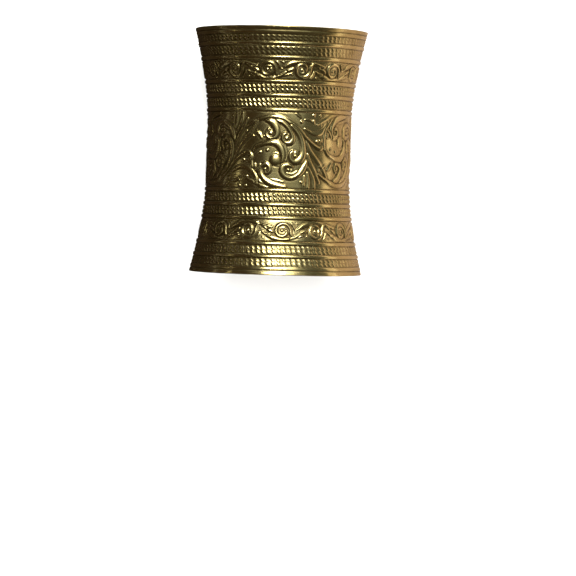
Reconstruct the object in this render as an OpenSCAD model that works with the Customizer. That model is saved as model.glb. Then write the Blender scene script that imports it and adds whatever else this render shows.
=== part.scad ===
// A sheet-brass arm cuff, embossed all round and bent into a waisted tube that stays
// open along one line. It lies on the two edges of that opening, its axis along Y and
// the middle of the ornament facing up. The origin is on the surface it lies on,
// under the middle of its box.

/* [Cuff] */
// Length of the cuff from rim to rim
cuff_length = 108; // [104:1:114]
// Outer radius of the round waist, under the large scrolls
waist_radius = 32; // [30:0.2:34]
// How much wider the radius is at both rims
rim_flare = 6.5; // [5:0.1:8]
// How late the sheet flares: 1 is a straight cone from the waist, 2 a late curve
flare_power = 1.5; // [1:0.1:2]
// Thickness of the sheet
sheet = 1; // [0.8:0.1:1.4]
// Angle of the opening along the back
opening_angle = 48; // [46:1:56]

/* [Ridges and rope bands] */
// Width of a ridge between two bands
ridge_width = 1.4; // [1:0.1:1.8]
// Height of a ridge above the sheet
ridge_height = 0.45; // [0.3:0.05:0.6]
// Width of one row of a rope band
rope_width = 1.9; // [1.4:0.1:2.1]
// Height of a rope row above the sheet
rope_height = 0.35; // [0.2:0.05:0.5]

/* [Raised ornament] */
// Height of the scrolls and vines above the sheet
relief = 0.6; // [0.4:0.1:0.8]
// Number of large scrolls in a full turn
scroll_count = 6; // [4:2:6]
// Number of vine spirals in a full turn
vine_count = 14; // [12:2:16]
// Angle of the lower vine's first spiral from the middle of the front
lower_vine_turn = 5; // [0:1:20]
// Angle of the upper vine's first spiral from the middle of the front
upper_vine_turn = -9; // [-20:1:0]

/* [Hidden] */
$fn = 96;
half_length = cuff_length / 2;
rim_radius = waist_radius + rim_flare;
// Height of the axis above the two edges that the cuff lies on
axis_height = rim_radius * cos(opening_angle / 2);
sheet_angle = 360 - opening_angle;
// How deep the raised ornament and the ridges reach into the sheet
embed = sheet * 0.45;
// Width of the plain strip along both edges of the opening
end_margin = 1.2;
// Radii between which the outlines of the ornament are pushed out through the sheet
prism_start = waist_radius * 0.8;
prism_end = rim_radius + relief + 1;

// Heights of the ridges, measured from the middle of the cuff
ridges = [-51, -45.8, -40.2, -29.1, -23.4, -17.2, 17.8, 24, 30, 40.3, 46.4, 51.2];

// A band lies between two ridges, and is named by the number of the lower one
FROM = 0;
TO = 1;
function band_above(ridge) = [ridges[ridge], ridges[ridge + 1]];
rope_bands = [for (ridge = [0, 1, 3, 4, 6, 7, 9, 10]) band_above(ridge)];
lower_vine_band = band_above(2);
main_band = band_above(5);
upper_vine_band = band_above(8);
// Heights where the sheet's slope changes, each under a ridge or at a rim
bends = concat(-half_length, lower_vine_band, main_band, upper_vine_band, half_length);

// One leaf or stem is a crescent from its start to its end. The bulge is how far its
// middle lies to the left of the straight line between them.
START_X = 0;
START_Y = 1;
END_X = 2;
END_Y = 3;
BULGE = 4;
WIDTH = 5;
scroll_leaves = [
  // start x, start y, end x, end y, bulge, width
  [-12, 11.3, 7, 10, 3.9, 1.7],
  [5, 11.7, 20, 0.8, -1, 1.1],
  [7, 9.3, 8.9, -4.4, 3.7, 1.7],
  [1, 12, 5.9, 5, 1.6, 1.1],
  [-5, 12.6, -0.6, 7.2, 1.8, 1.8],
  [-9.8, 8.2, -7.4, 5.2, 0.5, 1.2],
  [-11, 0, -3.2, 3.7, 1.1, 0.9],
  [-4, 3.5, 2, -6, 2.8, 1.6],
  [-11.9, 0, -10.4, -9.2, -0.6, 1],
  [-9.9, -9.2, -7.9, -6.1, 0.3, 0.9],
  [-8, -9.5, 3, -15.6, -2.8, 2.1],
  [12.8, -4.2, 5.2, -12.6, 2, 1.8],
  [6, -12.2, 1.4, -6.4, 1.9, 1.6],
  [15, -0.8, 24, -12.6, -0.7, 1.1],
  [14, -3.6, 19.2, -13, 0.7, 1.1],
  [12.6, -8.6, 16.8, -16.2, 1.3, 1],
  [13, 8.3, 23.6, 11.6, -1.6, 1],
];

// One volute is a round moon, open where its hollow reaches its edge, with a bead
X = 0;
Y = 1;
RADIUS = 2;
OPEN_AT = 3;
scroll_volutes = [
  // x, y, radius, direction of its open side
  [-3.3, 7, 2.5, 130],
  [3.8, 5.8, 2.4, 80],
  [7, -2.2, 2.3, 40],
  [-1.3, -3.8, 3.1, 110],
  [-5.6, -8.4, 2.6, 250],
  [19.8, 3, 2.1, 170],
];
scroll_beads = [
  // x, y, radius
  [-8.1, -1, 0.7],
  [-5, -0.3, 0.7],
  [3.4, -6.9, 1.3],
  [10.6, -13.7, 0.7],
  [10, 12.8, 0.8],
  [16, 15.6, 0.8],
];
vine_leaves = [
  // start x, start y, end x, end y, bulge, width
  [-9.2, -0.4, 7.4, -1.6, -2.9, 1.2],
  [-6.9, 3.7, -5.8, 1.2, 0.4, 0.9],
  [3.4, 2.6, 6.4, -0.2, -0.6, 1],
];
vine_volute = [0, 0.2, 3, 70];

// Share of a volute's radius that its hollow, its bead and their offset take
volute_hollow = 0.68;
volute_shift = 0.4;
volute_bead = 0.34;

function mid(band) = (band[FROM] + band[TO]) / 2;

// Outer radius that a smooth flare would have at a height from the middle
function flared_radius(z) =
  let (waist_end = z < 0 ? -main_band[FROM] : main_band[TO])
  let (share = max(0, (abs(z) - waist_end) / (half_length - waist_end)))
  waist_radius + rim_flare * pow(share, flare_power);

// Outer radius of the plain sheet, which is straight from one bend to the next
profile = [for (z = bends) [z, flared_radius(z)]];
function sheet_radius(z) = lookup(z, profile);

// Radius of the circle through both ends of a chord with this rise at its middle
function arc_radius(chord, rise) = (chord * chord / 4 + rise * rise) / (2 * rise);

// Section of a layer that follows the sheet over a band, from `below` its outer face
// to `above` it
module layer_section(below, above, band = [-half_length, half_length]) {
  inner_bends = [for (z = bends) if (z > band[FROM] && z < band[TO]) z];
  heights = concat(band[FROM], inner_bends, band[TO]);
  last = len(heights) - 1;
  polygon(concat(
    [for (z = heights) [sheet_radius(z) - below, z]],
    [for (i = [last : -1 : 0]) [sheet_radius(heights[i]) + above, heights[i]]]
  ));
}

// Round bead on the sheet's face, for a ridge or one row of rope
module bead_section(z, width, height) {
  r = arc_radius(width, height);
  translate([sheet_radius(z) + height - r, z])
    circle(r = r);
}

// Section of the sheet, bare and round inside, with its ridges and ropes outside
module sheet_section() {
  layer_section(sheet, 0);
  intersection() {
    layer_section(embed, 2 * ridge_height);
    union() {
      for (z = ridges)
        bead_section(z, ridge_width, ridge_height);
      for (band = rope_bands)
        for (side = [-1, 1])
          bead_section(mid(band) + side * rope_width / 2, rope_width, rope_height);
    }
  }
}

// The sheet, turned round everything but the opening
module embossed_sheet() {
  rotate_extrude(angle = sheet_angle, start = 90 + opening_angle / 2)
    sheet_section();
}

// Both of these outlines are drawn about the middle of the thing that they outline
module leaf_outline(row) {
  chord = norm([row[END_X] - row[START_X], row[END_Y] - row[START_Y]]);
  side = row[BULGE] < 0 ? -1 : 1;
  outer_rise = abs(row[BULGE]) + row[WIDTH] / 2;
  inner_rise = abs(row[BULGE]) - row[WIDTH] / 2;
  outer = arc_radius(chord, outer_rise);
  inner = arc_radius(chord, abs(inner_rise));
  rotate(atan2(row[END_Y] - row[START_Y], row[END_X] - row[START_X]))
    if (inner_rise > 0)
      difference() {
        translate([0, side * (outer_rise - outer)]) circle(r = outer);
        translate([0, side * (inner_rise - inner)]) circle(r = inner);
      }
    else
      intersection() {
        translate([0, side * (outer_rise - outer)]) circle(r = outer);
        translate([0, side * (inner + inner_rise)]) circle(r = inner);
      }
}

module volute_outline(row) {
  r = row[RADIUS];
  shift = r * volute_shift;
  difference() {
    circle(r = r);
    translate([shift * cos(row[OPEN_AT]), shift * sin(row[OPEN_AT])])
      circle(r = r * volute_hollow);
  }
  circle(r = r * volute_bead);
}

// Pushes an outline out from the axis, at a place on a band of this radius
module pushed_out(x, y, radius) {
  rotate([0, 0, x / radius * 180 / PI])
    translate([0, 0, y])
      rotate([90, 0, 0])
        translate([0, 0, prism_start])
          linear_extrude(prism_end - prism_start)
            children();
}

module leaves(rows, radius) {
  for (row = rows)
    pushed_out((row[START_X] + row[END_X]) / 2, (row[START_Y] + row[END_Y]) / 2, radius)
      leaf_outline(row);
}

module volutes(rows, radius) {
  for (row = rows)
    pushed_out(row[X], row[Y], radius)
      volute_outline(row);
}

module beads(rows, radius) {
  for (row = rows)
    pushed_out(row[X], row[Y], radius)
      circle(r = row[RADIUS]);
}

// Sets the children round the cuff, every second one upside down, and keeps what lies
// in a thin layer on the sheet
module raised_band(band, count, turn) {
  trim = end_margin / waist_radius * 180 / PI;
  inside_ridges = [band[FROM] + ridge_width / 2, band[TO] - ridge_width / 2];
  intersection() {
    rotate_extrude(angle = sheet_angle - 2 * trim, start = 90 + opening_angle / 2 + trim)
      layer_section(embed, relief, inside_ridges);
    translate([0, 0, mid(band)])
      for (k = [-count / 2 : count / 2 - 1])
        rotate([0, 0, turn + k * 360 / count])
          mirror([0, 0, k % 2 == 0 ? 0 : 1])
            children();
  }
}

module scrolls() {
  raised_band(main_band, scroll_count, 0) {
    leaves(scroll_leaves, waist_radius);
    volutes(scroll_volutes, waist_radius);
    beads(scroll_beads, waist_radius);
  }
}

module vine(band, turn) {
  radius = sheet_radius(mid(band));
  raised_band(band, vine_count, turn) {
    leaves(vine_leaves, radius);
    volutes([vine_volute], radius);
  }
}

module cuff() {
  color("#b08d3c")
    translate([0, 0, axis_height])
      rotate([-90, 0, 0]) {
        embossed_sheet();
        scrolls();
        vine(lower_vine_band, lower_vine_turn);
        vine(upper_vine_band, upper_vine_turn);
      }
}

cuff();
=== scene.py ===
"""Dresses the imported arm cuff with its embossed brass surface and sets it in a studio.

The cuff is one sheet of brass. Its surface is worked out here as a height over a
smooth, waisted tube: ridges, rope bands, a scroll band and two vine bands. The tube is
cut into seven bands round the axis, each a closed shell, so that each stays light.

All shapes are worked out in millimetres on the unrolled sheet, where x runs round the
cuff from the middle of its front and y runs along its axis. `SheetForm.placed` rolls
them up and turns them into metres.
"""
import logging
import math
from dataclasses import dataclass, field
from enum import Enum

import bpy
import numpy as np
from mathutils import Matrix, Vector


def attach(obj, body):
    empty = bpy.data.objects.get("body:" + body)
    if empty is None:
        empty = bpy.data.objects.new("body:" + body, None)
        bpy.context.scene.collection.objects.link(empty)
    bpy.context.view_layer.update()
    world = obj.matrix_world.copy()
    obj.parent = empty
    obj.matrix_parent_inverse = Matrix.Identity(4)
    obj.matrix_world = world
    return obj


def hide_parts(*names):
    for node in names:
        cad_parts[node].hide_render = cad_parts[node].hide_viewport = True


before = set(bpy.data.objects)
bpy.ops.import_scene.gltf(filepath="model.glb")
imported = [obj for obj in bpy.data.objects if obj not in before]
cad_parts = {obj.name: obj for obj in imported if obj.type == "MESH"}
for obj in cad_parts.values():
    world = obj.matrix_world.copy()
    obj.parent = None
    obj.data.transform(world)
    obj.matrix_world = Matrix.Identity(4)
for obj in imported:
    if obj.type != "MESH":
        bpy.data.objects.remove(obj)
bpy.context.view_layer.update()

LOG = logging.getLogger("arm_cuff")
BODY = "root"
NODE = "cuff"
METRE = 0.001
TINY = 1e-12
FULL_TURN = 360.0

Point = tuple[float, float]
Knot = tuple[float, float, float]
Colour = tuple[float, float, float, float]


# ---------------------------------------------------------------------------
# Shape helpers


def smooth_step(low: float, high: float, value: np.ndarray) -> np.ndarray:
    """Rises from 0 at low to 1 at high, level at both ends: t squared times (3 - 2t)."""
    t = np.clip((value - low) / (high - low), 0.0, 1.0)
    return t * t * (3.0 - 2.0 * t)


def smooth_path(knots: tuple[Knot, ...], per_span: int = 7) -> np.ndarray:
    """Carries a curve through knots.

    Each span is a Catmull-Rom cubic: it passes both of its knots, and its slope at a
    knot is half the step from the knot before to the knot after.

    Args:
        knots: Places along the stroke, as x, y and half width.
        per_span: Steps that each span is cut into.

    Returns:
        An array of x, y and half width, one row for each step.
    """
    p = np.array(knots, float)
    p = np.vstack([2 * p[0] - p[1], p, 2 * p[-1] - p[-2]])
    before, start, end, after = p[:-3], p[1:-2], p[2:-1], p[3:]
    t = (np.arange(per_span) / per_span)[None, :, None]
    a = 2 * start[:, None]
    b = (end - before)[:, None] * t
    c = (2 * before - 5 * start + 4 * end - after)[:, None] * t**2
    d = (-before + 3 * start - 3 * end + after)[:, None] * t**3
    steps = ((a + b + c + d) / 2).reshape(-1, 3)
    return np.vstack([steps, p[-2]])


def between(low: float, high: float, start: float, full: float, y: np.ndarray) -> np.ndarray:
    """Share of a band's ornament at a height.

    It rises from 0 to 1 between two distances from either end of the band.

    Args:
        low: Lower end of the band, in mm.
        high: Upper end of the band, in mm.
        start: Distance from an end where the ornament starts, in mm.
        full: Distance from an end where it is full, in mm.
        y: Distance along the axis, in mm.

    Returns:
        Shares from 0 to 1.
    """
    above = smooth_step(low + start, low + full, y)
    below = smooth_step(-high + start, -high + full, -y)
    return above * below


def wave_field(x: np.ndarray, y: np.ndarray, lengths: Point, seed: int) -> np.ndarray:
    """Adds up plane waves in random directions, so the sheet is never quite true.

    The height at a place is a sum of twelve sines of x and y over the root of twelve.
    Each sine has its own direction, phase and wave length between the two given.

    Args:
        x: Distance round the cuff, in mm.
        y: Distance along the axis, in mm.
        lengths: Shortest and longest wave, in mm.
        seed: Number that fixes the random draws.

    Returns:
        Heights that mostly lie between -1.5 and 1.5, in the shape of x and y.
    """
    rng = np.random.default_rng(seed)
    total = np.zeros(np.broadcast(x, y).shape)
    count = 12
    for _ in range(count):
        angle, phase = rng.uniform(0, 2 * math.pi, 2)
        number = 2 * math.pi / rng.uniform(*lengths)
        total += np.sin(number * (np.cos(angle) * x + np.sin(angle) * y) + phase)
    return total / math.sqrt(count)


# ---------------------------------------------------------------------------
# The sheet


@dataclass(frozen=True)
class SheetForm:
    """The bare, waisted sheet that the ornament stands on. Sizes are in mm."""

    half_length: float = 54.0
    waist_radius: float = 32.0
    rim_flare: float = 6.5
    flare_power: float = 1.5
    thickness: float = 1.0
    opening_angle: float = 48.0
    waist_low: float = -17.2
    waist_high: float = 17.8
    edge_round: float = 0.42
    plain_edge: float = 1.3
    waviness: float = 0.035
    long_waves: Point = (14, 46)
    long_seed: int = 3
    short_waves: Point = (4, 9)
    short_seed: int = 8
    short_share: float = 0.22

    @property
    def axis_height(self) -> float:
        """Height of the axis above the two edges that the cuff lies on."""
        rim = self.waist_radius + self.rim_flare
        return rim * math.cos(math.radians(self.opening_angle / 2))

    @property
    def end_turn(self) -> float:
        """Angle in degrees from the middle of the front to either edge of the opening."""
        return (FULL_TURN - self.opening_angle) / 2

    def radius(self, y: np.ndarray) -> np.ndarray:
        """Outer radius: the waist's, plus the flare times a power of the way to a rim."""
        low = (self.waist_low - y) / (self.half_length + self.waist_low)
        high = (y - self.waist_high) / (self.half_length - self.waist_high)
        share = np.clip(np.maximum(low, high), 0.0, None)
        return self.waist_radius + self.rim_flare * share**self.flare_power

    def to_opening(self, turn: np.ndarray) -> np.ndarray:
        """Distance in mm along the waist from an angle to the nearer edge of the opening."""
        return np.radians(self.end_turn - np.abs(turn)) * self.waist_radius

    def rounding(self, turn: np.ndarray, y: np.ndarray) -> np.ndarray:
        """Drop of a face near the sheet's free edges.

        A face falls along a quarter circle over the last part of the sheet, towards
        both rims and both edges of the opening.

        Args:
            turn: Angle round the cuff, in degrees.
            y: Distance along the axis, in mm.

        Returns:
            Depth below the true face, in mm.
        """
        to_rim = self.half_length - np.abs(y)
        near = np.clip(1 - np.minimum(self.to_opening(turn), to_rim) / self.edge_round, 0.0, 1.0)
        return self.edge_round * (1 - np.sqrt(1 - near**2))

    def trim(self, turn: np.ndarray) -> np.ndarray:
        """Share of the ornament left at an angle: none beside the opening."""
        return smooth_step(self.plain_edge / 2, self.plain_edge, self.to_opening(turn))

    def waves(self, x: np.ndarray, y: np.ndarray, fine: bool) -> np.ndarray:
        """Height of the sheet's waviness in mm, with the short waves only where it is fine."""
        height = wave_field(x, y, self.long_waves, self.long_seed)
        if fine:
            height = height + self.short_share * wave_field(x, y, self.short_waves, self.short_seed)
        return self.waviness * height

    def placed(self, turn: np.ndarray, y: np.ndarray, radius: np.ndarray) -> np.ndarray:
        """Rolls places on the sheet up round the axis.

        A place lies at the sine of its angle times its radius to the right, and at the
        cosine times its radius above the axis.

        Args:
            turn: Angle from the middle of the front, in degrees, to the right.
            y: Distance along the axis, in mm.
            radius: Distance from the axis, in mm.

        Returns:
            Points in metres, with x, y and z in the last axis.
        """
        a = np.radians(turn)
        x, z = radius * np.sin(a), self.axis_height + radius * np.cos(a)
        return np.stack([x, y + 0 * x, z], axis=-1) * METRE


SHEET = SheetForm()


# ---------------------------------------------------------------------------
# Raised ornament


@dataclass(frozen=True)
class Stroke:
    """A rounded leaf or stem: knots of x, y and half width, and its height, in mm."""

    knots: tuple[Knot, ...]
    height: float = 0.62


@dataclass(frozen=True)
class Motif:
    """Ornament of one cell: low mounds, strokes from the lowest up, then beads.

    A mound or bead is given by x, y and radius.
    """

    mounds: tuple[Knot, ...]
    strokes: tuple[Stroke, ...]
    beads: tuple[Knot, ...]


SCROLL = Motif(
    mounds=(
        (-3.2, 7.1, 2.5), (3.8, 5.4, 2.4), (7.6, -2.3, 2.5), (-.8, -4, 3.2), (-5.8, -8.6, 2),
        (4.2, -8.9, 2.8),
    ),
    strokes=(
        # ring round the left of the scroll, and the long stem along the bottom
        Stroke(((-10.3, 1.3, .3), (-11.7, -1.4, .45), (-12.1, -4.6, .5), (-11.6, -8, .5),
            (-10, -11, .45), (-8, -13.6, .45), (-4.6, -15.9, .45), (0, -16.6, .3)), .34),
        Stroke(((-16, -11.6, .3), (-11, -14, .5), (-5, -16.3, .5), (2, -16.9, .3)), .3),
        # stems that part to the right below the scroll
        Stroke(((12.2, 5, .3), (14.4, .2, .55), (17.6, -3.7, .65), (21, -7.6, .6),
            (24, -12.6, .35)), .42),
        Stroke(((13.2, -1.3, .3), (14.5, -5, .55), (16.7, -9, .65), (19.2, -13.6, .4)), .42),
        Stroke(((12.9, -6, .3), (14.7, -9.2, .5), (16.3, -12.6, .6), (16.9, -16.3, .35)), .4),
        Stroke(((13.3, -9.4, .3), (13.8, -12.6, .45), (13.8, -16.4, .35)), .4),
        Stroke(((11.9, -10.8, .25), (11.9, -13, .38), (11.7, -15.3, .25)), .36),
        # leaf between two scrolls, at the top
        Stroke(((11.6, 9.6, .3), (15.3, 7.7, .55), (19, 7.8, .7), (21.9, 9.4, .7), (23.7, 12, .55),
            (24.1, 14.8, .35)), .4),
        Stroke(((11.5, 13.6, .25), (13.8, 13.4, .4), (16.2, 12, .3)), .34),
        # outer stem over the scroll, down to its hook
        Stroke(((-15, 10, .3), (-11, 12.3, .5), (-7, 13.9, .7), (-2.4, 14.4, .9), (2, 13.4, 1.0),
            (5.6, 11.4, .9), (9.6, 8.5, .62), (12.8, 5.2, .5), (16.6, 2.3, .55),
            (19.6, 1.1, .65), (21.3, 2.5, .65), (20.6, 4.7, .55), (18.9, 4.6, .4)), .6),
        # curls from the top, to the right and down, each over the one before
        Stroke(((5.4, 10.7, .5), (8.4, 7.9, .75), (10.3, 4.5, .8), (11.1, 1, .75),
            (10.9, -1.9, .95), (9.5, -4.1, 1.0), (7.3, -4.9, .85), (5.6, -3.7, .7),
            (5.3, -1.6, .65), (6.2, -.3, .5))),
        Stroke(((-2, 13.1, .4), (1.4, 12.1, .62), (4, 9.9, .68), (5.6, 7.3, .62), (6.2, 5.1, .75),
            (5, 3.5, .95), (3.2, 3.5, .95), (2, 4.9, .75), (2.1, 6.6, .65), (3.1, 7.4, .45))),
        Stroke(((-5.8, 12.7, .35), (-3.6, 12.4, .95), (-1.9, 10.8, 1.1), (-.9, 8.5, .95),
            (-1.1, 6.4, .8), (-2.7, 5, .85), (-4.6, 5.6, .75), (-5.2, 7.4, .6),
            (-4.5, 9.2, .4))),
        Stroke(((-9.8, 8.1, .35), (-8.6, 6.9, .62), (-7.4, 5.1, .38)), .5),
        Stroke(((-14.3, 6.6, .25), (-12.7, 6.9, .45), (-11.2, 5.9, .3)), .4),
        # middle curl and the thin line beside it
        Stroke(((-1, 4.1, .25), (2, 2.6, .38), (3.5, -.6, .42), (3.3, -4.6, .3)), .38),
        Stroke(((-11.4, -1, .35), (-10, 1.1, .5), (-7.4, 2.3, .55), (-4, 3.2, .75), (-1, 2.9, 1.05),
            (1, 1.1, 1.05), (2, -1.4, .9), (2, -3.6, .7), (1.2, -5.7, .4)), .66),
        # lower curls
        Stroke(((-3.5, -12.7, .2), (-.5, -13.1, .32), (2.5, -13.9, .25)), .26),
        Stroke(((3.4, -15.9, .6), (0, -15.5, .85), (-3, -14.7, .9), (-5.8, -13, .8),
            (-7.5, -10.6, .72), (-7.9, -8.3, .66), (-7, -6.7, .72), (-5.5, -6.1, .8),
            (-4.1, -7.1, .75), (-3.7, -8.8, .62), (-4.6, -10.1, .5), (-5.8, -9.8, .4))),
        Stroke(((12.7, -4.3, .35), (12, -6.4, .75), (10.7, -8.7, .85), (8.7, -10.6, .78),
            (6, -11.9, .75), (3.6, -11.4, .85), (2.1, -9.8, .95), (1.8, -8, .95),
            (2.8, -6.7, .85), (4.6, -6.4, .65), (6.3, -7.1, .4))),
        Stroke(((4, -9.8, .3), (6, -10.3, .4), (8.6, -9, .3)), .4),
        Stroke(((-10.3, -6, .3), (-10.1, -7.8, .5), (-9.8, -9.2, .5)), .5),
        Stroke(((-9.8, -9.2, .5), (-8.8, -7.9, .45), (-7.9, -6.2, .3)), .5),
        Stroke(((6.6, 17, .25), (8.2, 15.6, .4), (9.6, 14.3, .25)), .34),
    ),
    beads=(
        (-3.7, 7.3, 1.2), (3.6, 5.2, 1.25), (7.6, -2.4, .8), (-1.5, -4.3, 2.5), (-5.7, -8.3, .75),
        (4.6, -8.5, .9), (-8.1, -1, .7), (-4.9, -.1, .75), (-6.6, 6, .5), (10.6, -13.7, .65),
        (10, 12.6, .8), (15.9, 15.7, .8), (15.7, 13.2, .6), (19.1, 15.6, .6), (19.5, 11.6, .65),
        (17.8, 4.4, .75), (-14.6, 8.2, .5),
    ),
)

VINE = Motif(
    mounds=((0, .2, 3),),
    strokes=(
        # long stem below the spiral, which runs on to the right
        Stroke(((-8.6, -.9, .28), (-6.7, -2.1, .55), (-4, -3.1, .7), (-1, -3.6, .66),
            (2.6, -3.5, .5), (6.6, -2.6, .36), (10.4, -1.5, .28)), .5),
        # spiral, from its foot on the stem, over the top and in
        Stroke(((4.3, -2.9, .3), (3.4, -1.2, .46), (3.2, .8, .48), (1.8, 2.6, .5), (-.6, 3, .52),
            (-2.6, 1.8, .52), (-3, -.4, .5), (-1.9, -2, .5), (0, -2.3, .48), (1.4, -1.2, .42),
            (1.2, .4, .36)), .58),
        # leaves to the left and the right
        Stroke(((-11.8, 3.3, .22), (-9.4, 2.4, .4), (-7.4, .9, .3)), .4),
        Stroke(((-6.9, .5, .28), (-5.7, .1, .5), (-4.5, -.6, .3)), .45),
        Stroke(((3.7, 3.4, .25), (4.7, 2.1, .42), (5.2, .5, .28)), .45),
        Stroke(((5.8, .3, .22), (7.4, 1.4, .4), (9.4, 1.6, .3)), .38),
    ),
    beads=((-.5, 0, .8), (-4.7, 2.2, .45), (6.4, 3.1, .45)),
)


@dataclass
class ReliefMap:
    """Heights of two neighbouring cells, the second one upside down, on a fine grid.

    The map repeats to the left and the right. Sizes are in mm.
    """

    cell_width: float
    band_height: float
    motif: Motif
    pitch: float = 0.1
    moat_width: float = 0.42
    moat_depth: float = 0.13
    moat_wear: float = 0.85
    softness: float = 0.16
    fullness: float = 1.55
    crown: float = 0.95
    mound_height: float = 0.36
    lowering: float = 0.76
    bead_base: float = 0.2
    bead_rise: float = 0.38
    bead_limit: float = 0.46
    hollow_spread: float = 0.75
    hollow_full: float = 0.165
    height: np.ndarray = field(init=False)
    hollow: np.ndarray = field(init=False)

    def __post_init__(self) -> None:
        """Draws the motif into both cells, softens it and measures its hollows.

        A bead's height grows with its radius up to a limit. A place's hollow is how far
        it lies below the mean height around it.
        """
        self.columns = int(round(2 * self.cell_width / self.pitch))
        self.rows = int(round(self.band_height / self.pitch)) + 1
        self.height = np.zeros((self.rows, self.columns))
        for cell, flip in ((0, 1), (1, -1)):
            for mound in self.motif.mounds:
                self._draw(np.array([mound] * 2), self.mound_height, cell, flip)
            for stroke in self.motif.strokes:
                path = smooth_path(stroke.knots) * (1, 1, self.fullness)
                self._draw(path, stroke.height * self.lowering, cell, flip)
            for bead in self.motif.beads:
                rise = min(self.bead_limit, self.bead_base + self.bead_rise * bead[2])
                self._draw(np.array([bead] * 2), rise, cell, flip)
        self.height = self._blurred(self.height, self.softness)
        # The hollow later darkens the finish: partly tarnish, partly painted shade in the recesses.
        sunk = self._blurred(self.height, self.hollow_spread) - self.height
        self.hollow = np.clip(sunk / self.hollow_full, 0.0, 1.0)

    def _draw(self, path: np.ndarray, height: float, cell: int, flip: int) -> None:
        """Presses one stroke into the map.

        Each grid point takes the nearest place on the path. Inside the stroke's half
        width the height is the stroke's, times a rounded section: one minus the square
        of the distance over the half width, to the power `crown`. Just outside it, what
        is there already sinks, so a groove follows the stroke.

        Args:
            path: Rows of x, y and half width along the stroke.
            height: Height of the stroke above the ground.
            cell: Number of the cell in the map, 0 or 1.
            flip: 1, or -1 where the cell is upside down.
        """
        x = path[:, 0] + self.cell_width * (cell + 0.5)
        y = path[:, 1] * flip + self.band_height / 2
        reach = path[:, 2].max() + self.moat_width
        low_i = int((x.min() - reach) / self.pitch) - 1
        high_i = int((x.max() + reach) / self.pitch) + 2
        low_j = max(0, int((y.min() - reach) / self.pitch))
        high_j = min(self.rows, int((y.max() + reach) / self.pitch) + 2)
        gi, gj = np.arange(low_i, high_i), np.arange(low_j, high_j)
        px, py = np.meshgrid(gi * self.pitch, gj * self.pitch)
        step_x, step_y = np.diff(x), np.diff(y)
        length = np.maximum(step_x**2 + step_y**2, TINY)
        best = np.full(px.shape, np.inf)
        width = np.ones(px.shape)
        for k in range(len(x) - 1):
            along = (px - x[k]) * step_x[k] + (py - y[k]) * step_y[k]
            t = np.clip(along / length[k], 0, 1)
            away = np.hypot(px - x[k] - t * step_x[k], py - y[k] - t * step_y[k])
            w = path[k, 2] + t * (path[k + 1, 2] - path[k, 2])
            nearer = away - w < best - width
            best, width = np.where(nearer, away, best), np.where(nearer, w, width)
        share = np.clip(1 - (best / width) ** 2, 0.0, 1.0)
        raised = height * share**self.crown
        columns = gi % self.columns
        here = self.height[low_j:high_j][:, columns]
        moat = 1 - smooth_step(0.0, self.moat_width, best - width)
        sunk = here * (1 - self.moat_wear * moat) - self.moat_depth * moat
        result = np.where(best < width, np.maximum(raised, sunk), sunk)
        self.height[low_j:high_j, columns] = result

    def _blurred(self, values: np.ndarray, spread: float) -> np.ndarray:
        """Softens a map with a Gaussian, worked out from its waves.

        The map wraps in x, and is mirrored in y.

        Args:
            values: The map.
            spread: The Gaussian's standard deviation, in mm.

        Returns:
            The softened map.
        """
        doubled = np.vstack([values, values[::-1]])
        fy = np.fft.fftfreq(doubled.shape[0], self.pitch)[:, None]
        fx = np.fft.rfftfreq(doubled.shape[1], self.pitch)[None, :]
        gain = np.exp(-2 * (math.pi * spread) ** 2 * (fx**2 + fy**2))
        soft = np.fft.irfft2(np.fft.rfft2(doubled) * gain, s=doubled.shape)
        return soft[: self.rows]

    def sampled(self, values: np.ndarray, cells: np.ndarray, y: np.ndarray) -> np.ndarray:
        """Reads the map between its grid points.

        The value is the mean of the four grid points around a place, each weighed by
        how near it is.

        Args:
            values: The map to read, height or hollow.
            cells: Place round the cuff, in cells from the middle of cell 0.
            y: Distance from the middle of the band, in mm.

        Returns:
            Values in the shape of cells and y.
        """
        i = (cells + 0.5) * self.cell_width / self.pitch
        j = np.clip((y + self.band_height / 2) / self.pitch, 0, self.rows - 1.001)
        i, j = np.broadcast_arrays(i, j)
        i0, j0 = np.floor(i).astype(int), np.floor(j).astype(int)
        u, v = i - i0, j - j0
        left, right = i0 % self.columns, (i0 + 1) % self.columns
        low = values[j0, left] * (1 - u) + values[j0, right] * u
        high = values[j0 + 1, left] * (1 - u) + values[j0 + 1, right] * u
        return low * (1 - v) + high * v


# ---------------------------------------------------------------------------
# Bands of the cuff


@dataclass(frozen=True)
class Ridge:
    """A rounded ridge round the cuff, with a groove on both sides. Sizes are in mm."""

    y: float
    height: float = 0.38
    half_width: float = 0.8
    groove_depth: float = 0.2
    groove_at: float = 1.02
    groove_spread: float = 0.18
    # Centre and spread of the grooves' darkening: partly grime, partly painted shade.
    grime_and_shade_at: float = 0.96
    grime_and_shade_spread: float = 0.225

    def profile(self, y: np.ndarray) -> np.ndarray:
        """Height over the sheet: half an ellipse, less a bell-shaped groove on both sides."""
        t = np.abs(y - self.y)
        top = self.height * np.sqrt(np.clip(1 - (t / self.half_width) ** 2, 0, 1))
        groove = np.exp(-(((t - self.groove_at) / self.groove_spread) ** 2))
        return top - self.groove_depth * groove

    def hollow(self, y: np.ndarray) -> np.ndarray:
        """How deep a place lies in one of the two grooves, from 0 to 1."""
        t = np.abs(y - self.y)
        # This darkens the grooves in the finish: partly grime, partly painted shade.
        return np.exp(-(((t - self.grime_and_shade_at) / self.grime_and_shade_spread) ** 2))


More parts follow.
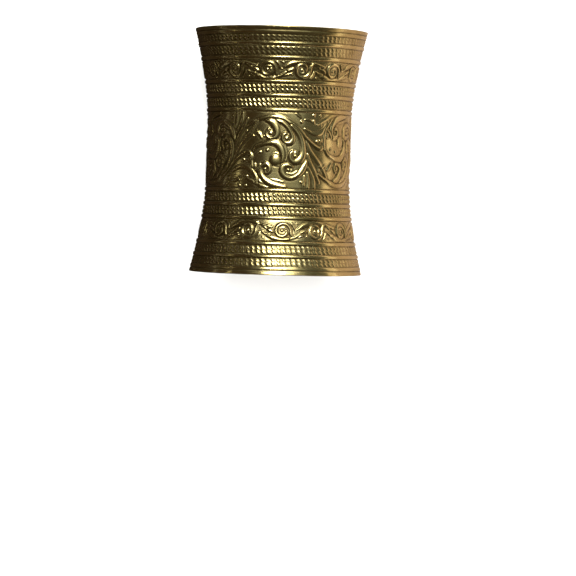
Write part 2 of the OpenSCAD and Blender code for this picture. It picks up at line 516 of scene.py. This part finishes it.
@dataclass(frozen=True)
class Rope:
    """A band of two rows of slanting teeth between two ridges. Sizes are in mm."""

    low: float
    high: float
    teeth_in_turn: int = 96
    tooth_height: float = 0.26
    ground: float = -0.05
    row_offset: float = 0.93
    row_half: float = 0.9
    slant: float = 0.67
    lower_shift: float = 0.35
    tooth_share: float = 0.62
    across_power: float = 0.7
    along_power: float = 0.8
    # Darkening between the teeth: partly grime, partly painted shade.
    grime_and_shade: float = 0.45
    grime_and_shade_power: float = 1.5
    starts_at: float = 0.75
    full_at: float = 1.15

    def profile(self, turn: np.ndarray, y: np.ndarray) -> tuple[np.ndarray, np.ndarray]:
        """Heights of the teeth.

        A place has a phase: its angle in teeth, plus the slant times its height in the
        row. Across a tooth the height is one minus the square of the distance from the
        tooth's middle line, to a power. Along the row's height it is one minus the
        fourth power of the distance from the row's middle, to a power.

        Args:
            turn: Angle round the cuff, in degrees.
            y: Distance along the axis, in mm.

        Returns:
            Heights over the sheet in mm, and hollows from 0 to 1.
        """
        pitch = FULL_TURN / self.teeth_in_turn
        per_mm = self.teeth_in_turn / (2 * math.pi * SHEET.radius(y))
        middle = (self.low + self.high) / 2
        tooth = np.zeros(np.broadcast(turn, y).shape)
        for side in (-1, 1):
            v = (y - middle - side * self.row_offset) / self.row_half
            shift = self.lower_shift if side < 0 else 0.0
            phase = turn / pitch + (self.slant * v * self.row_half - shift) * per_mm
            across = np.abs(phase - np.floor(phase) - 0.5) * 2 / self.tooth_share
            row = np.clip(1 - across**2, 0, 1) ** self.across_power
            row = row * np.clip(1 - v**4, 0, 1) ** self.along_power
            tooth = np.maximum(tooth, row)
        inside = between(self.low, self.high, self.starts_at, self.full_at, y)
        height = inside * (self.ground + (self.tooth_height - self.ground) * tooth)
        # Between the teeth the finish darkens: partly grime, partly painted shade.
        return height, self.grime_and_shade * inside * (1 - tooth) ** self.grime_and_shade_power


# Distances in mm from a free edge: of the grid lines on its rounding, and of the first of
# the even ones
EDGE_LINES = np.array([0.0, 0.06, 0.14, 0.24, 0.34])
EVEN_FROM = 0.45


@dataclass
class Band:
    """One closed shell of the cuff between two heights. Sizes are in mm."""

    name: str
    low: float
    high: float
    columns: int
    rows: int
    ridges: tuple[Ridge, ...] = ()
    inner_rows: int = 9
    full_crest: float = 0.6

    def turns(self) -> np.ndarray:
        """Angles of the grid's columns, closer together where the edges are rounded."""
        end = SHEET.end_turn
        close = np.degrees(EDGE_LINES / SHEET.waist_radius)
        start = math.degrees(EVEN_FROM / SHEET.waist_radius)
        even = np.linspace(-end + start, end - start, self.columns - 2 * len(close))
        return np.concatenate([-end + close, even, end - close[::-1]])

    def heights(self, count: int) -> np.ndarray:
        """Heights of the grid's rows, closer together at a free rim."""
        rim = SHEET.half_length
        low, high, before, after = self.low, self.high, [], []
        if low <= -rim:
            before, low = list(low + EDGE_LINES), low + EVEN_FROM
        if high >= rim:
            after, high = list(high - EDGE_LINES[::-1]), high - EVEN_FROM
        even = np.linspace(low, high, count - len(before) - len(after))
        return np.concatenate([before, even, after])

    def relief(self, turn: np.ndarray, y: np.ndarray) -> tuple[np.ndarray, np.ndarray]:
        """Height of the ridges over the sheet, and how deep a place lies in a groove.

        Args:
            turn: Angle round the cuff, in degrees.
            y: Distance along the axis, in mm.

        Returns:
            Heights in mm, and hollows from 0 to 1.
        """
        height = sum((r.profile(y) for r in self.ridges), 0 * (turn + y))
        hollow = sum((r.hollow(y) for r in self.ridges), 0 * (turn + y))
        return height, hollow

    def build(self, finishes: tuple[bpy.types.Material, bpy.types.Material]) -> bpy.types.Object:
        """Makes the shell: an embossed outer wall, a bare inner wall and the edges between.

        The outer wall's radius is the sheet's, plus the relief, plus a faint waviness,
        less the rounding at free edges. The inner wall's is the sheet's less its
        thickness, plus the rounding.

        Args:
            finishes: Materials of the embossed face and of the bare inside.

        Returns:
            The finished piece.
        """
        turn = self.turns()[None, :]
        y = self.heights(self.rows)[:, None]
        x = np.radians(turn) * SHEET.radius(y)
        height, hollow = self.relief(turn, y)
        trim = SHEET.trim(turn)
        wave = SHEET.waves(x, y, fine=True)
        outer = SHEET.radius(y) + height * trim + wave - SHEET.rounding(turn, y)
        at_rim = max(-self.low, self.high) >= SHEET.half_length
        iy = self.heights(self.inner_rows + (len(EDGE_LINES) if at_rim else 0))[:, None]
        ix = np.radians(turn) * SHEET.radius(iy)
        inner_wave = SHEET.waves(ix, iy, fine=False)
        inner = SHEET.radius(iy) - SHEET.thickness + inner_wave + SHEET.rounding(turn, iy)
        points = np.concatenate([
            SHEET.placed(turn, y, outer).reshape(-1, 3),
            SHEET.placed(turn, iy, inner).reshape(-1, 3),
        ])
        mesh = self._mesh(points, outer.shape, inner.shape)
        bare = np.zeros(inner.size)
        crest = np.clip(height * trim / self.full_crest, 0, 1)
        # The hollow attribute drives a darker finish: tarnish and painted shade in the hollows.
        _store(mesh, "hollow", np.concatenate([(hollow * trim).ravel(), bare]))
        _store(mesh, "crest", np.concatenate([crest.ravel(), bare]))
        flat = [
            np.stack([u, v + 0 * u, r - SHEET.waist_radius], -1).reshape(-1, 3)
            for u, v, r in ((x, y, outer), (ix, iy, inner))
        ]
        _store(mesh, "unrolled", np.concatenate(flat))
        for finish in finishes:
            mesh.materials.append(finish)
        piece = bpy.data.objects.new(self.name, mesh)
        bpy.context.scene.collection.objects.link(piece)
        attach(piece, BODY)
        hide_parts(NODE)
        return piece

    def _mesh(
        self, points: np.ndarray, outer: tuple[int, int], inner: tuple[int, int]
    ) -> bpy.types.Mesh:
        """Joins the two grids of points into one closed mesh.

        Each wall is a grid of quads. A strip of quads joins the walls at the low and at
        the high end, and one flat face closes each edge of the opening. The walls' ends
        are marked sharp, so that the shading runs on evenly from shell to shell.

        Args:
            points: Outer grid's points, then the inner grid's, in metres.
            outer: Rows and columns of the outer grid.
            inner: Rows and columns of the inner grid.

        Returns:
            The mesh, smooth on both walls and flat on its edges.
        """
        out = np.arange(outer[0] * outer[1]).reshape(outer)
        ins = np.arange(inner[0] * inner[1]).reshape(inner) + out.size
        out_quads = _quads(out)
        in_quads = _quads(ins)[:, ::-1]
        low = np.stack([out[0, 1:], out[0, :-1], ins[0, :-1], ins[0, 1:]], 1)
        high = np.stack([out[-1, :-1], out[-1, 1:], ins[-1, 1:], ins[-1, :-1]], 1)
        left = np.concatenate([out[:, 0], ins[::-1, 0]]).tolist()
        right = np.concatenate([out[::-1, -1], ins[:, -1]]).tolist()
        faces = np.concatenate([out_quads, in_quads, low, high]).tolist() + [left, right]
        mesh = bpy.data.meshes.new(self.name)
        mesh.from_pydata(points.tolist(), [], faces)
        walls = len(out_quads) + len(in_quads)
        smooth = np.arange(len(faces)) < walls
        slots = np.zeros(len(faces), np.int32)
        slots[len(out_quads):walls] = 1
        mesh.polygons.foreach_set("use_smooth", smooth)
        mesh.polygons.foreach_set("material_index", slots)
        mesh.update()
        ends = np.zeros(len(points), bool)
        for grid in (out, ins):
            for line in (grid[0], grid[-1], grid[:, 0], grid[:, -1]):
                ends[line] = True
        edges = np.empty(2 * len(mesh.edges), np.int32)
        mesh.edges.foreach_get("vertices", edges)
        sharp = ends[edges.reshape(-1, 2)].all(axis=1)
        mesh.attributes.new("sharp_edge", "BOOLEAN", "EDGE").data.foreach_set("value", sharp)
        return mesh


def _store(mesh: bpy.types.Mesh, name: str, values: np.ndarray) -> None:
    """Stores one number, or one row of three, for each vertex."""
    kind, key = ("FLOAT", "value") if values.ndim == 1 else ("FLOAT_VECTOR", "vector")
    made = mesh.attributes.new(name, kind, "POINT")
    made.data.foreach_set(key, values.astype(np.float32).ravel())


def _quads(grid: np.ndarray) -> np.ndarray:
    """Lists the quads between neighbouring rows and columns of a grid of vertex numbers."""
    corners = (grid[:-1, :-1], grid[:-1, 1:], grid[1:, 1:], grid[1:, :-1])
    return np.stack([c.ravel() for c in corners], 1)


@dataclass
class RopeBand(Band):
    """A shell with bands of rope teeth between its ridges."""

    ropes: tuple[Rope, ...] = ()

    def relief(self, turn: np.ndarray, y: np.ndarray) -> tuple[np.ndarray, np.ndarray]:
        """Adds the rope teeth to the ridges."""
        height, hollow = super().relief(turn, y)
        for rope in self.ropes:
            rope_height, rope_hollow = rope.profile(turn, y)
            height, hollow = height + rope_height, np.maximum(hollow, rope_hollow)
        return height, hollow


@dataclass
class CarvedBand(Band):
    """A shell with equal motifs between its two ridges, every second one upside down."""

    motif: Motif = SCROLL
    cells_in_turn: int = 6
    first_turn: float = 0.0
    ground: float = -0.16
    starts_at: float = 0.9
    full_at: float = 1.35

    def relief(self, turn: np.ndarray, y: np.ndarray) -> tuple[np.ndarray, np.ndarray]:
        """Adds the motifs, on a ground that lies a little below the sheet."""
        height, hollow = super().relief(turn, y)
        low, high = (ridge.y for ridge in self.ridges)
        middle = (low + high) / 2
        cell_turn = FULL_TURN / self.cells_in_turn
        width = math.radians(cell_turn) * float(SHEET.radius(np.array(middle)))
        carved = ReliefMap(width, high - low, self.motif)
        cells = (turn - self.first_turn) / cell_turn
        inside = between(low, high, self.starts_at, self.full_at, y)
        motif_height = carved.sampled(carved.height, cells, y - middle)
        motif_hollow = carved.sampled(carved.hollow, cells, y - middle)
        height = height + inside * (motif_height + self.ground)
        hollow = np.maximum(hollow, inside * motif_hollow)
        return height, hollow


RIDGE_HEIGHTS = (
    -51.0, -45.8, -40.2, -29.1, -23.4, -17.2, 17.8, 24.0, 30.0, 40.3, 46.4, 51.2,
)
# Distance from a ridge to a seam between two shells, in the ridge's groove
SEAM = 1.0
# Heights of the worn ridges, and of the worn rope teeth above a ridge, by its number
WORN_RIDGES = {0: 0.16, 11: 0.08}
WORN_GROOVE = 0.14
WORN_TEETH = {0: 0.11, 1: 0.13, 9: 0.1, 10: 0.08}


def ridge_at(number: int) -> Ridge:
    """The ridge of a number, counted from the lower rim."""
    if number in WORN_RIDGES:
        return Ridge(RIDGE_HEIGHTS[number], WORN_RIDGES[number], groove_depth=WORN_GROOVE)
    return Ridge(RIDGE_HEIGHTS[number])


def rope_above(number: int) -> Rope:
    """The rope between the ridge of a number and the next one."""
    height = WORN_TEETH.get(number, Rope.tooth_height)
    return Rope(RIDGE_HEIGHTS[number], RIDGE_HEIGHTS[number + 1], tooth_height=height)


def roped(name: str, first: int, rows: int) -> RopeBand:
    """Makes a shell with three ridges and the two ropes between them.

    Its ends are seams beside the outer ridges. The first and the last shell run on to
    the rims.

    Args:
        name: Name of the piece.
        first: Number of the lowest ridge.
        rows: Rows of the outer grid.

    Returns:
        The shell, not yet built.
    """
    last, rim = first + 2, SHEET.half_length
    low = RIDGE_HEIGHTS[first] - SEAM if first > 0 else -rim
    high = RIDGE_HEIGHTS[last] + SEAM if last < len(RIDGE_HEIGHTS) - 1 else rim
    return RopeBand(
        name, low, high, columns=1010, rows=rows,
        ridges=(ridge_at(first), ridge_at(first + 1), ridge_at(last)),
        ropes=(rope_above(first), rope_above(first + 1)),
    )


def carved(name: str, below: int, **settings: object) -> CarvedBand:
    """Makes a shell with motifs between the ridge of a number and the next one."""
    low, high = ridge_at(below), ridge_at(below + 1)
    return CarvedBand(name, low.y + SEAM, high.y - SEAM, ridges=(low, high), **settings)


def cuff_bands() -> list[Band]:
    """Lists the shells from the lower rim to the upper one."""
    vine = {"columns": 900, "inner_rows": 7, "motif": VINE, "cells_in_turn": 14, "ground": -0.12}
    return [
        roped("cuff_lower_rim", 0, rows=64),
        carved("cuff_lower_vine", 2, rows=44, first_turn=5.0, **vine),
        roped("cuff_lower_ropes", 3, rows=62),
        carved("cuff_scroll_band", 5, columns=700, rows=128, inner_rows=10),
        roped("cuff_upper_ropes", 6, rows=62),
        carved("cuff_upper_vine", 8, rows=42, first_turn=-9.0, **vine),
        roped("cuff_upper_rim", 9, rows=64),
    ]


# ---------------------------------------------------------------------------
# Finishes


class Socket(Enum):
    """Kinds of sockets that the node groups have."""

    NUMBER = "NodeSocketFloat"
    VECTOR = "NodeSocketVector"


class NodeSheet:
    """A node tree with short ways to place and join its nodes."""

    def __init__(self, tree: bpy.types.NodeTree) -> None:
        """Keeps the tree."""
        self.tree = tree

    def node(self, kind: str, inputs: dict | None = None, **settings: object) -> bpy.types.Node:
        """Places one node.

        Args:
            kind: Blender's name of the node's type.
            inputs: Values or sockets for its inputs, by name or number.
            **settings: Values for the node's own properties.

        Returns:
            The node.
        """
        made = self.tree.nodes.new(kind)
        for key, value in settings.items():
            setattr(made, key, value)
        for key, value in (inputs or {}).items():
            if isinstance(value, bpy.types.NodeSocket):
                self.tree.links.new(value, made.inputs[key])
            else:
                made.inputs[key].default_value = value
        return made

    def math(
        self, operation: str, a: object, b: object = 0.0, clamp: bool = False
    ) -> bpy.types.NodeSocket:
        """Places a Math node and gives its result."""
        made = self.node("ShaderNodeMath", {0: a, 1: b}, operation=operation, use_clamp=clamp)
        return made.outputs[0]

    def mix(self, share: object, a: object, b: object) -> bpy.types.NodeSocket:
        """Mixes two colours and gives the result."""
        made = self.node("ShaderNodeMix", {0: share, 6: a, 7: b}, data_type="RGBA")
        return made.outputs[2]

    def noise(
        self, vector: object, scale: float, detail: float, roughness: float
    ) -> bpy.types.NodeSocket:
        """Places a Noise texture and gives its value."""
        inputs = {"Vector": vector, "Scale": scale, "Detail": detail, "Roughness": roughness}
        return self.node("ShaderNodeTexNoise", inputs).outputs[0]

    def remap(
        self, value: object, low: float, high: float, to_low: float = 0.0, to_high: float = 1.0
    ) -> bpy.types.NodeSocket:
        """Carries a range of values onto another one, without going past its ends."""
        inputs = {0: value, 1: low, 2: high, 3: to_low, 4: to_high}
        return self.node("ShaderNodeMapRange", inputs, clamp=True).outputs[0]


def new_group(
    name: str, inputs: dict[str, object], outputs: tuple[str, ...]
) -> tuple[NodeSheet, bpy.types.Node, bpy.types.Node]:
    """Starts a shader node group with named sockets.

    Args:
        name: Name of the group.
        inputs: Default value of each input, by name: a number, or a row of three.
        outputs: Names of the outputs, which are numbers.

    Returns:
        The group's sheet, its input node and its output node.
    """
    tree = bpy.data.node_groups.new(name, "ShaderNodeTree")
    for label, default in inputs.items():
        kind = Socket.VECTOR if isinstance(default, tuple) else Socket.NUMBER
        made = tree.interface.new_socket(label, in_out="INPUT", socket_type=kind.value)
        made.default_value = default
    for label in outputs:
        tree.interface.new_socket(label, in_out="OUTPUT", socket_type=Socket.NUMBER.value)
    sheet = NodeSheet(tree)
    return sheet, sheet.node("NodeGroupInput"), sheet.node("NodeGroupOutput")


def tarnish_and_shade_group() -> bpy.types.NodeTree:
    """Dark tarnish and painted shade that gather in hollows, and are taken off the rubbed crests.

    The mask is the hollow, raised by a patchy noise, less the rubbed crest. Its hollow part is
    partly tarnish and partly painted shade in the recesses.
    """
    sheet, given, result = new_group(
        "tarnish_and_shade_in_hollows",
        {
            "Place": (0, 0, 0), "Hollow": 0.0, "Crest": 0.0,
            "Depth": 1.0, "Film": 0.2, "Rubbing": 0.9,
        },
        ("Mask", "Patches"),
    )
    place = given.outputs["Place"]
    patches = sheet.noise(place, scale=0.09, detail=4.0, roughness=0.62)
    fine = sheet.noise(place, scale=1.1, detail=3.0, roughness=0.6)
    patchy = sheet.remap(patches, low=0.38, high=0.68)
    film = sheet.math("MULTIPLY", patchy, given.outputs["Film"])
    speckle = sheet.remap(fine, low=0.3, high=0.75, to_low=0.7, to_high=1.15)
    # Hollows darken: partly tarnish, partly painted shade where the recesses would fall dark.
    deep = sheet.math("MULTIPLY", given.outputs["Hollow"], given.outputs["Depth"])
    sunk = sheet.math("MULTIPLY", deep, speckle)
    rubbed = sheet.math("MULTIPLY", given.outputs["Crest"], given.outputs["Rubbing"], clamp=True)
    kept = sheet.math("SUBTRACT", 1.0, rubbed)
    total = sheet.math("MULTIPLY", sheet.math("ADD", sunk, film), kept, clamp=True)
    sheet.tree.links.new(total, result.inputs["Mask"])
    sheet.tree.links.new(patches, result.inputs["Patches"])
    return sheet.tree


def polish_group() -> bpy.types.NodeTree:
    """Fine marks of polishing along the cuff's turn, with a few longer scratches.

    Both are noises stretched many times along x on the unrolled sheet.
    """
    sheet, given, result = new_group(
        "polish_marks",
        {
            "Place": (0, 0, 0), "Roughness": 0.2, "Spread": 0.08,
            "Scratch Roughness": 0.08, "Grain Height": 0.5, "Scratch Depth": 0.6,
        },
        ("Roughness", "Height"),
    )
    place = given.outputs["Place"]
    along = sheet.node("ShaderNodeMapping", {"Vector": place, "Scale": (0.5, 7.0, 1.0)})
    crossed = sheet.node(
        "ShaderNodeMapping", {"Vector": place, "Rotation": (0, 0, 0.45), "Scale": (0.16, 5.0, 1.0)}
    )
    grain = sheet.noise(along.outputs[0], scale=1.0, detail=3.0, roughness=0.6)
    lines = sheet.noise(crossed.outputs[0], scale=1.0, detail=2.0, roughness=0.4)
    scratch = sheet.remap(lines, low=0.66, high=0.74)
    blotch = sheet.noise(place, scale=0.35, detail=3.0, roughness=0.6)
    mean = 0.5
    swing = sheet.math(
        "ADD", sheet.math("SUBTRACT", grain, mean), sheet.math("SUBTRACT", blotch, mean)
    )
    spread = sheet.math("MULTIPLY", swing, given.outputs["Spread"])
    rough = sheet.math("ADD", given.outputs["Roughness"], spread, clamp=True)
    scratched = sheet.math("MULTIPLY", scratch, given.outputs["Scratch Roughness"])
    rough = sheet.math("ADD", rough, scratched, clamp=True)
    height = sheet.math(
        "SUBTRACT",
        sheet.math("MULTIPLY", grain, given.outputs["Grain Height"]),
        sheet.math("MULTIPLY", scratch, given.outputs["Scratch Depth"]),
    )
    sheet.tree.links.new(rough, result.inputs["Roughness"])
    sheet.tree.links.new(height, result.inputs["Height"])
    return sheet.tree


@dataclass(frozen=True)
class BrassFinish:
    """A brass surface: polished where it is rubbed, tarnished and darkened with painted shade where
    it is deep.
    """

    name: str
    polished: Colour = (0.82, 0.69, 0.35, 1)
    film: Colour = (0.66, 0.54, 0.22, 1)
    tarnish_and_shade_tone: Colour = (0.10, 0.07, 0.025, 1)
    roughness: float = 0.17
    spread: float = 0.1
    tarnish_and_shade_depth: float = 0.95
    film_share: float = 0.3
    marks: float = 0.12
    mark_depth: float = 0.00004
    tarnish_and_shade_roughness: float = 0.28
    patch_range: Point = (0.3, 0.7)

    def material(
        self, tarnish_and_shade: bpy.types.NodeTree, polish: bpy.types.NodeTree
    ) -> bpy.types.Material:
        """Makes the material.

        Args:
            tarnish_and_shade: Node group of the tarnish and the painted shade in hollows.
            polish: Node group of the polishing marks.

        Returns:
            The material.
        """
        made = bpy.data.materials.new(self.name)
        made.use_nodes = True
        sheet = NodeSheet(made.node_tree)
        shader = made.node_tree.nodes["Principled BSDF"]
        shader.inputs["Metallic"].default_value = 1.0
        place = sheet.node("ShaderNodeAttribute", attribute_name="unrolled").outputs["Vector"]
        hollow = sheet.node("ShaderNodeAttribute", attribute_name="hollow").outputs["Fac"]
        crest = sheet.node("ShaderNodeAttribute", attribute_name="crest").outputs["Fac"]
        places = {"Place": place, "Hollow": hollow, "Crest": crest}
        amounts = {"Depth": self.tarnish_and_shade_depth, "Film": self.film_share}
        dark = sheet.node("ShaderNodeGroup", places | amounts, node_tree=tarnish_and_shade)
        rubbing = {"Place": place, "Roughness": self.roughness, "Spread": self.spread}
        marks = sheet.node("ShaderNodeGroup", rubbing, node_tree=polish)
        patchy = sheet.remap(dark.outputs["Patches"], *self.patch_range)
        tint = sheet.mix(patchy, self.polished, self.film)
        # The mask darkens the brass towards a near-black tone: tarnish patches, and painted shade
        # in the hollows.
        colour = sheet.mix(dark.outputs["Mask"], tint, self.tarnish_and_shade_tone)
        dulled = sheet.math("MULTIPLY", dark.outputs["Mask"], self.tarnish_and_shade_roughness)
        rough = sheet.math("ADD", marks.outputs["Roughness"], dulled, clamp=True)
        raised = {"Height": marks.outputs["Height"], "Distance": self.mark_depth}
        bump = sheet.node("ShaderNodeBump", raised | {"Strength": self.marks}).outputs[0]
        sheet.tree.links.new(colour, shader.inputs["Base Color"])
        sheet.tree.links.new(rough, shader.inputs["Roughness"])
        sheet.tree.links.new(bump, shader.inputs["Normal"])
        return made


EMBOSSED = BrassFinish("embossed_brass")
INSIDE = BrassFinish(
    "bare_inside_brass",
    polished=(0.62, 0.49, 0.22, 1),
    film=(0.46, 0.34, 0.14, 1),
    roughness=0.34,
    spread=0.2,
    film_share=0.55,
    marks=0.35,
)


# ---------------------------------------------------------------------------
# Studio


@dataclass(frozen=True)
class Softbox:
    """A soft lamp that faces the cuff. Its direction is in degrees, its sizes in metres."""

    name: str
    across: float
    along: float
    distance: float
    width: float
    length: float
    power: float
    colour: tuple[float, float, float] = (1.0, 1.0, 1.0)
    in_gloss: bool = True

    def place(self, target: Vector) -> bpy.types.Object:
        """Hangs the lamp.

        Its direction leans from straight up by `across` to the right, and then by
        `along` towards the upper rim.

        Args:
            target: Point that it faces.

        Returns:
            The lamp.
        """
        a, b = math.radians(self.across), math.radians(self.along)
        way = Vector((math.sin(a) * math.cos(b), math.sin(b), math.cos(a) * math.cos(b)))
        lamp = bpy.data.lights.new(self.name, "AREA")
        lamp.shape = "RECTANGLE"
        lamp.size, lamp.size_y = self.width, self.length
        lamp.energy = self.power
        lamp.color = self.colour
        made = bpy.data.objects.new(self.name, lamp)
        right = Vector((0, 1, 0)).cross(way).normalized()
        up = way.cross(right)
        turn = Matrix((right, up, way)).transposed().to_4x4()
        made.matrix_world = Matrix.Translation(target + way * self.distance) @ turn
        made.visible_glossy = self.in_gloss
        made.visible_camera = False
        bpy.context.scene.collection.objects.link(made)
        return made


@dataclass(frozen=True)
class Studio:
    """The pale floor, the lamps, the two cards and the camera. Sizes are in metres."""

    floor_size: float = 14.0
    floor_tone: Colour = (0.86, 0.86, 0.85, 1)
    dark_tone: Colour = (0.012, 0.008, 0.005, 1)
    warm_tone: Colour = (0.232, 0.168, 0.132, 1)
    world_left: Colour = (0.04, 0.027, 0.015, 1)
    world_right: Colour = (0.1, 0.1, 0.08, 1)
    world_seen: Colour = (0.9, 0.9, 0.9, 1)
    below_share: float = 0.15
    left_range: Point = (-0.7, 0.1)
    below_range: Point = (-0.5, -0.12)
    card_gap: float = 0.02
    card_reach: float = 1.6
    card_half_length: float = 0.9
    card_height: float = 0.0006
    paper_roughness: float = 0.9
    paper_specular: float = 0.1
    lens: float = 175.0
    sensor: float = 36.0
    camera_along: float = -0.0204
    camera_above_axis: float = 1.25
    pitch: float = 0.0321
    yaw: float = 0.0048
    roll: float = -0.0283
    lamps: tuple[Softbox, ...] = (
        Softbox("key_core", 2, 26.5, 1.15, 0.4, 0.21, 5.6, (1.0, 0.99, 0.93)),
        Softbox("key_halo", 7, 22, 1.2, 0.8, 0.6, 2.05, (1.0, 0.99, 0.93)),
        Softbox("ridge_light", 15, 43, 1.15, 0.45, 0.34, 3.0, (1.0, 0.98, 0.88)),
        Softbox("front_glow", 9, 11, 1.45, 1.7, 1.1, 1.15, (0.94, 1.0, 0.93)),
        Softbox("left_strip", -66, 4, 1.0, 0.014, 0.6, 0.1, (1.0, 0.97, 0.75)),
        Softbox("right_panel", 84, 0, 1.0, 0.25, 1.6, 1.2, (1.0, 0.8, 0.61)),
        Softbox("overhead_fill", 0, 0, 1.9, 3.4, 3.4, 135, (1.0, 1.0, 1.0), False),
    )

    def build(self) -> None:
        """Sets up the floor, the cards, the world, the lamps and the camera."""
        self._floor()
        self._cards()
        self._world()
        for lamp in self.lamps:
            lamp.place(Vector((0, 0, SHEET.axis_height * METRE)))
        self._camera()
        bpy.context.scene.view_settings.view_transform = "Standard"

    def _plane(
        self, name: str, low: Point, high: Point, z: float, tone: Colour
    ) -> bpy.types.Object:
        """Makes a flat rectangle of one tone."""
        mesh = bpy.data.meshes.new(name)
        (left, near), (right, far) = low, high
        corners = [(left, near, z), (right, near, z), (right, far, z), (left, far, z)]
        mesh.from_pydata(corners, [], [(0, 1, 2, 3)])
        paint = bpy.data.materials.new(name)
        paint.use_nodes = True
        shader = paint.node_tree.nodes["Principled BSDF"]
        shader.inputs["Base Color"].default_value = tone
        shader.inputs["Roughness"].default_value = self.paper_roughness
        shader.inputs["Specular IOR Level"].default_value = self.paper_specular
        mesh.materials.append(paint)
        made = bpy.data.objects.new(name, mesh)
        bpy.context.scene.collection.objects.link(made)
        return made

    def _floor(self) -> None:
        """Lays the floor under the two edges that the cuff lies on."""
        half = self.floor_size / 2
        self._plane("studio_floor", (-half, -half), (half, half), 0.0, self.floor_tone)

    def _cards(self) -> None:
        """Lays a dark card and a warm card beside the cuff; they only show in its gloss."""
        gap, reach, half = self.card_gap, self.card_reach, self.card_half_length
        sides = (
            ("dark_card", -reach, -gap, self.dark_tone),
            ("warm_card", gap, reach, self.warm_tone),
        )
        for name, left, right, tone in sides:
            card = self._plane(name, (left, -half), (right, half), self.card_height, tone)
            card.visible_camera = False
            card.visible_diffuse = False
            card.visible_shadow = False
            card.visible_transmission = False

    def _world(self) -> None:
        """Dim light all round, dimmest from the left and from below the picture.

        Where the camera sees past the floor, the world has a pale tone.
        """
        world = bpy.data.worlds.new("studio_world")
        world.use_nodes = True
        bpy.context.scene.world = world
        sheet = NodeSheet(world.node_tree)
        way = sheet.node("ShaderNodeTexCoord").outputs["Generated"]
        parts = sheet.node("ShaderNodeSeparateXYZ", {0: way}).outputs
        from_left = sheet.remap(parts[0], *self.left_range)
        from_below = sheet.remap(parts[1], *self.below_range, self.below_share, 1.0)
        share = sheet.math("MULTIPLY", from_left, from_below)
        dim = sheet.mix(share, self.world_left, self.world_right)
        seen = sheet.node("ShaderNodeLightPath").outputs["Is Camera Ray"]
        tone = sheet.mix(seen, dim, self.world_seen)
        sheet.tree.links.new(tone, world.node_tree.nodes["Background"].inputs["Color"])

    def _camera(self) -> None:
        """Hangs the camera straight over the cuff, with the small turns that the picture shows."""
        lens = bpy.data.cameras.new("camera")
        lens.lens, lens.sensor_width = self.lens, self.sensor
        made = bpy.data.objects.new("camera", lens)
        height = SHEET.axis_height * METRE + self.camera_above_axis
        turn = (
            Matrix.Rotation(-self.yaw, 4, "Y")
            @ Matrix.Rotation(-self.pitch, 4, "X")
            @ Matrix.Rotation(-self.roll, 4, "Z")
        )
        made.matrix_world = Matrix.Translation((0, self.camera_along, height)) @ turn
        bpy.context.scene.collection.objects.link(made)
        bpy.context.scene.camera = made


def main() -> None:
    """Builds every band of the cuff and the studio."""
    logging.basicConfig(level=logging.INFO, format="%(name)s: %(message)s")
    tarnish_and_shade, polish = tarnish_and_shade_group(), polish_group()
    finishes = (EMBOSSED.material(tarnish_and_shade, polish), INSIDE.material(tarnish_and_shade, polish))
    total = 0
    for band in cuff_bands():
        piece = band.build(finishes)
        piece.data.calc_loop_triangles()
        count = len(piece.data.loop_triangles)
        total += count
        LOG.info("%s: %d triangles", piece.name, count)
    LOG.info("all bands: %d triangles", total)
    Studio().build()
    bpy.context.view_layer.update()


if __name__ == "__main__":
    main()
